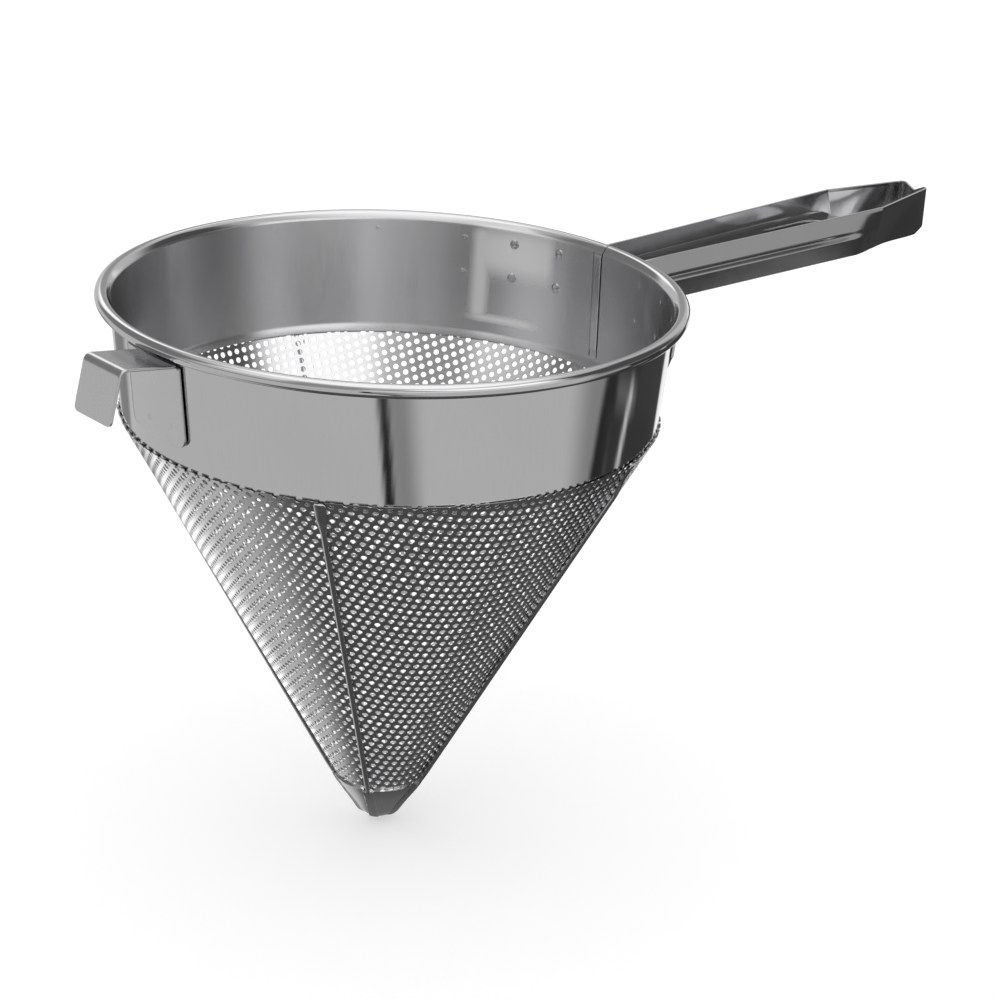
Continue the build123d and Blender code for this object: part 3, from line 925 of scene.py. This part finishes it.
def make_seam_strip():
    """Lap strip over the band's seam, inside the band."""
    half, sheet, rows, columns = 2.5, 0.4, 30, 6
    vertices = []
    for row in range(rows + 1):
        depth = seam_top + (seam_foot - seam_top) * row / rows
        middle = radians(seam_lean_deg - seam_lean_deg * row / rows)
        radius = wall_radius(-depth, -band_sheet - fit_gap)
        for column in range(columns + 1):
            vertices.append(turned(radius, middle + half * (2 * column / columns - 1) / radius, -depth))
    strip = mesh_object("seam_strip", vertices, grid_faces(rows + 1, columns + 1))
    tidy_mesh(strip, 40)
    sheet_piece(strip, sheet, -1, 0.12)
    add_to_body(strip, hook_steel, "polished_sheet", "seam_strip")


make_seam_strip()


# Weld marks, one small crater instanced on every place
def crater():
    """A shallow weld mark of unit radius that rises a little round its pit."""
    profile = [(0.0, 0.05), (0.3, 0.04), (0.55, 0.17), (0.8, 0.1), (1.0, 0.0)]
    sides = 12
    vertices = [(0, 0, profile[0][1])]
    for radius, height in profile[1:]:
        vertices += [turned(radius, 2 * pi * side / sides, height) for side in range(sides)]
    faces = [(0, 1 + side, 1 + (side + 1) % sides) for side in range(sides)]
    for ring in range(len(profile) - 2):
        first = 1 + ring * sides
        for side in range(sides):
            ahead = (side + 1) % sides
            faces.append((first + side, first + sides + side, first + sides + ahead, first + ahead))
    faces.append(tuple(1 + (len(profile) - 2) * sides + side for side in reversed(range(sides))))
    return mesh_object("crater", vertices, faces)


def mark_tree(mark, material):
    """Copies of a mark on points, each turned to the way its point faces."""
    tree, given, made = new_group(
        "weld_marks",
        [("Places", "NodeSocketGeometry", None), ("Unit", "NodeSocketFloat", None)],
        [("Marks", "NodeSocketGeometry")],
        "GeometryNodeTree",
    )
    facing = tree.nodes.new("GeometryNodeInputNamedAttribute")
    facing.data_type = "FLOAT_VECTOR"
    facing.inputs["Name"].default_value = "facing"
    width = tree.nodes.new("GeometryNodeInputNamedAttribute")
    width.data_type = "FLOAT"
    width.inputs["Name"].default_value = "width"
    turn = tree.nodes.new("FunctionNodeAlignRotationToVector")
    turn.axis = "Z"
    tree.links.new(facing.outputs["Attribute"], turn.inputs["Vector"])
    placed, marks = place_copies(tree, given.outputs["Places"], mark)
    tree.links.new(turn.outputs["Rotation"], placed.inputs["Rotation"])
    size = tree_math(tree, "MULTIPLY", width.outputs["Attribute"], given.outputs["Unit"])
    tree.links.new(size, placed.inputs["Scale"])
    give_finish(tree, marks, material, made.inputs["Marks"])
    return tree


def inside_band(azimuth_deg, z, width):
    """Place, facing and width of a mark just off the band's inner face."""
    azimuth, off_face = radians(azimuth_deg), 0.02
    facing = (-cos(taper) * cos(azimuth), -cos(taper) * sin(azimuth), sin(taper))
    return turned(wall_radius(z, -band_sheet - off_face), azimuth, z), facing, width


def make_marks(name, places, mark, material, slot):
    """One piece of weld marks, at places that each have a facing and a width."""
    spots, facings, widths = zip(*places)
    made = mesh_object(name, spots, [])
    facing = made.data.attributes.new("facing", "FLOAT_VECTOR", "POINT")
    facing.data.foreach_set("vector", [value for each in facings for value in each])
    width = made.data.attributes.new("width", "FLOAT", "POINT")
    width.data.foreach_set("value", widths)
    modifier = made.modifiers.new("marks", "NODES")
    modifier.node_group = mark_tree(mark, material)
    set_inputs(modifier, Unit=1.0)
    flatten(made)
    tidy_mesh(made, 60)
    add_to_body(made, material, slot)


def make_all_marks():
    """The marks of the wings' welds inside the band, and those of the hook's plate."""
    mark = crater()
    places = []
    for side, size in ((1, 2.4), (-1, 1.5)):
        for z in (-9.8, -26.3):
            for azimuth_deg, width in ((13.5, size), (25.3, size), (37.3, 1.4)):
                places.append(inside_band(side * azimuth_deg, z, width))
    places += [inside_band(57.5, -7.6, 0.8), inside_band(81.3, -7.2, 0.8)]
    make_marks("band_weld_marks", places, mark, mirror_steel, "polished_sheet")
    places = []
    for azimuth_deg, z in ((187.3, -14.2), (178.2, -38.5), (186.0, -38.0), (173.4, -14.0)):
        azimuth = radians(azimuth_deg)
        facing = (cos(taper) * cos(azimuth), cos(taper) * sin(azimuth), -sin(taper))
        places.append((turned(wall_radius(z, fit_gap + hook_sheet), azimuth, z), facing, 1.8))
    make_marks("hook_weld_marks", places, mark, hook_steel, "handle_sheet")
    bpy.data.objects.remove(mark)


make_all_marks()

# The rim's wire stays as the part has it, hidden in the curl
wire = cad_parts["rim_wire"]
wire.data.materials.clear()
wire.data.materials.append(wire_steel)


# Studio: a floor at the tip's height, and lit silks that only reflections see
ground = cad_box[0][2] / MM


def soft_zone(value, low, high, edge):
    """1 where a value lies between low and high, with soft edges."""
    return smooth(value, low - edge, low + edge) * (1 - smooth(value, high - edge, high + edge))


def empty_material(name):
    """A material without nodes, with its node list and its link list."""
    material = bpy.data.materials.new(name)
    material.use_nodes = True
    material.node_tree.nodes.clear()
    return material, material.node_tree.nodes, material.node_tree.links


def studio_light(name):
    """An emission whose strength is painted on the mesh."""
    material, nodes, links = empty_material(name)
    level = nodes.new("ShaderNodeAttribute")
    level.attribute_name = "level"
    glow = nodes.new("ShaderNodeEmission")
    links.new(level.outputs["Fac"], glow.inputs["Strength"])
    made = nodes.new("ShaderNodeOutputMaterial")
    links.new(glow.outputs["Emission"], made.inputs["Surface"])
    return material


def studio_piece(name, vertices, faces, levels):
    """A lit silk of the studio that only mirror rays see."""
    made = mesh_object(name, vertices, faces)
    painted = made.data.attributes.new("level", "FLOAT", "POINT")
    painted.data.foreach_set("value", levels)
    for polygon in made.data.polygons:
        polygon.use_smooth = True
    made.data.materials.append(studio_light(name))
    made.visible_camera = False
    made.visible_diffuse = False
    made.visible_shadow = False
    made.visible_transmission = False


def wrapped(azimuth_deg, center):
    """How far an azimuth lies from a centre, from -180 to 180 degrees."""
    return (azimuth_deg - center + 180) % 360 - 180


# Zones of the dome: centre azimuth, half width, edge, lowest and highest elevation, edge, level
dome_zones = [
    (0.0, 190.0, 1.0, 58.0, 99.0, 8.0, 1.5),
    (-85.0, 34.0, 6.0, 24.0, 46.0, 5.0, 1.6),
    (-100.0, 38.0, 12.0, 2.0, 22.0, 4.0, 0.9),
    (-25.0, 33.0, 8.0, 2.0, 44.0, 4.0, 0.1),
    (-152.0, 15.0, 5.0, 2.0, 45.0, 4.0, 0.42),
    (172.0, 17.0, 4.0, 33.0, 56.0, 4.0, 1.1),
    (78.0, 12.0, 5.0, 15.0, 42.0, 4.0, 1.5),
    (178.0, 26.0, 5.0, 2.0, 11.0, 3.0, 0.3),
    (120.0, 32.0, 5.0, 2.0, 45.0, 4.0, 0.25),
    (-51.0, 4.0, 2.0, 2.0, 11.0, 3.0, 0.4),
    (-135.0, 28.0, 8.0, 22.0, 33.0, 3.0, 0.35),
    (-10.0, 38.0, 4.0, -40.0, 1.0, 3.0, 0.06),
    (-8.0, 2.0, 1.0, -40.0, 1.0, 3.0, 0.75),
    (27.0, 5.0, 1.5, -40.0, 8.0, 4.0, 1.1),
    (52.0, 14.0, 6.0, 2.0, 33.0, 2.0, 0.42),
    (52.0, 16.0, 5.0, 36.0, 48.0, 3.0, 1.4),
]


def make_dome():
    """The dome of silk over the object, lit zone by zone."""
    around, upward, radius, lowest, plain_level = 720, 90, 3000.0, -20.0, 0.68
    vertices, levels = [], []
    for row in range(upward + 1):
        elevation_deg = lowest + (90 - lowest) * row / upward
        elevation = radians(elevation_deg)
        for turn in range(around):
            azimuth_deg = 360 * turn / around
            vertices.append(turned(radius * cos(elevation), radians(azimuth_deg), radius * sin(elevation)))
            level = plain_level
            for center, half, edge, low, high, rise_edge, zone_level in dome_zones:
                mask = soft_zone(wrapped(azimuth_deg, center), -half, half, edge)
                mask *= soft_zone(elevation_deg, low, high, rise_edge)
                level += (zone_level - level) * mask
            levels.append(level)
    studio_piece("studio_silk", vertices, grid_faces(upward + 1, around, wrap=True), levels)


# Zones of the table: centre azimuth at reach 550, its turn over 100 mm of reach, half width, edge,
# nearest and farthest reach, edge of these, level
# The table's dark zones are painted shade that only reflections see: dark ground under and around the
# object, and thin dark strips.
table_zones = [
    (78.0, 0.0, 34.0, 18.0, 40.0, 330.0, 30.0, 1.7),
    (92.0, 0.0, 9.0, 3.0, 430.0, 900.0, 40.0, 0.27),
    (-60.0, 0.0, 130.0, 25.0, -10.0, 300.0, 45.0, 0.09),
    (-124.5, -3.5, 5.0, 4.5, 340.0, 3200.0, 30.0, 0.33),
    (-130.2, -3.5, 1.9, 0.6, 340.0, 3200.0, 30.0, 0.015),
    (-20.0, 0.0, 30.0, 8.0, 280.0, 3200.0, 30.0, 0.33),
    (-34.3, 3.5, 4.2, 1.6, 280.0, 3200.0, 30.0, 0.03),
    (1.0, 0.0, 15.0, 1.5, 200.0, 3200.0, 30.0, 0.06),
    (-12.0, 0.0, 22.0, 4.0, 200.0, 575.0, 20.0, 0.05),
    (-21.0, 0.0, 9.5, 1.5, 585.0, 3200.0, 15.0, 0.05),
    (-40.0, 0.0, 8.0, 2.0, 670.0, 3200.0, 20.0, 0.43),
    (-20.0, 4.5, 1.3, 0.8, 460.0, 600.0, 12.0, 0.75),
    (24.0, 0.0, 6.5, 1.5, 460.0, 3200.0, 20.0, 1.05),
]


def make_table_silk():
    """The silk that lies on the floor, lit zone by zone; what faces down reflects it."""
    around, outward, radius, above_floor, plain_level = 720, 70, 3400.0, 1.0, 0.66
    vertices, levels = [], []
    for row in range(outward + 1):
        reach = radius * (row / outward) ** 2 + 1.0
        for turn in range(around):
            azimuth_deg = 360 * turn / around
            vertices.append(turned(reach, radians(azimuth_deg), ground + above_floor))
            level = plain_level
            for center, turning, half, edge, near, far, reach_edge, zone_level in table_zones:
                center += turning * (min(max(reach, 400.0), 700.0) - 550.0) / 100.0
                mask = soft_zone(wrapped(azimuth_deg, center), -half, half, edge)
                mask *= soft_zone(reach, near, far, reach_edge)
                level += (zone_level - level) * mask
            levels.append(level)
    studio_piece("table_silk", vertices, grid_faces(outward + 1, around, wrap=True), levels)


make_dome()
make_table_silk()


def make_floor():
    """Pale floor that the camera sees as white but for the object's shadow."""
    size, base, lift = 8000.0, 0.78, 0.32
    corners = ((-1, -1), (1, -1), (1, 1), (-1, 1))
    vertices = [(x * size, y * size, ground) for x, y in corners]
    made = mesh_object("floor", vertices, [(0, 1, 2, 3)])
    material, nodes, links = empty_material("pale_floor")
    work = partial(tree_math, material.node_tree)
    paint = nodes.new("ShaderNodeBsdfDiffuse")
    paint.inputs["Color"].default_value = (base, base, base, 1)
    rays = nodes.new("ShaderNodeLightPath")
    seen = work("MAXIMUM", rays.outputs["Is Camera Ray"], rays.outputs["Is Glossy Ray"])
    seen = work("MAXIMUM", seen, rays.outputs["Is Transmission Ray"])
    glow = nodes.new("ShaderNodeEmission")
    links.new(work("MULTIPLY", seen, lift), glow.inputs["Strength"])
    total = nodes.new("ShaderNodeAddShader")
    links.new(paint.outputs["BSDF"], total.inputs[0])
    links.new(glow.outputs["Emission"], total.inputs[1])
    out = nodes.new("ShaderNodeOutputMaterial")
    links.new(total.outputs["Shader"], out.inputs["Surface"])
    made.data.materials.append(material)


make_floor()

world = bpy.data.worlds.new("white_room")
world.use_nodes = True
world.node_tree.nodes["Background"].inputs["Color"].default_value = (1, 1, 1, 1)
world.node_tree.nodes["Background"].inputs["Strength"].default_value = 1.0
scene.world = world
scene.view_settings.view_transform = "Standard"
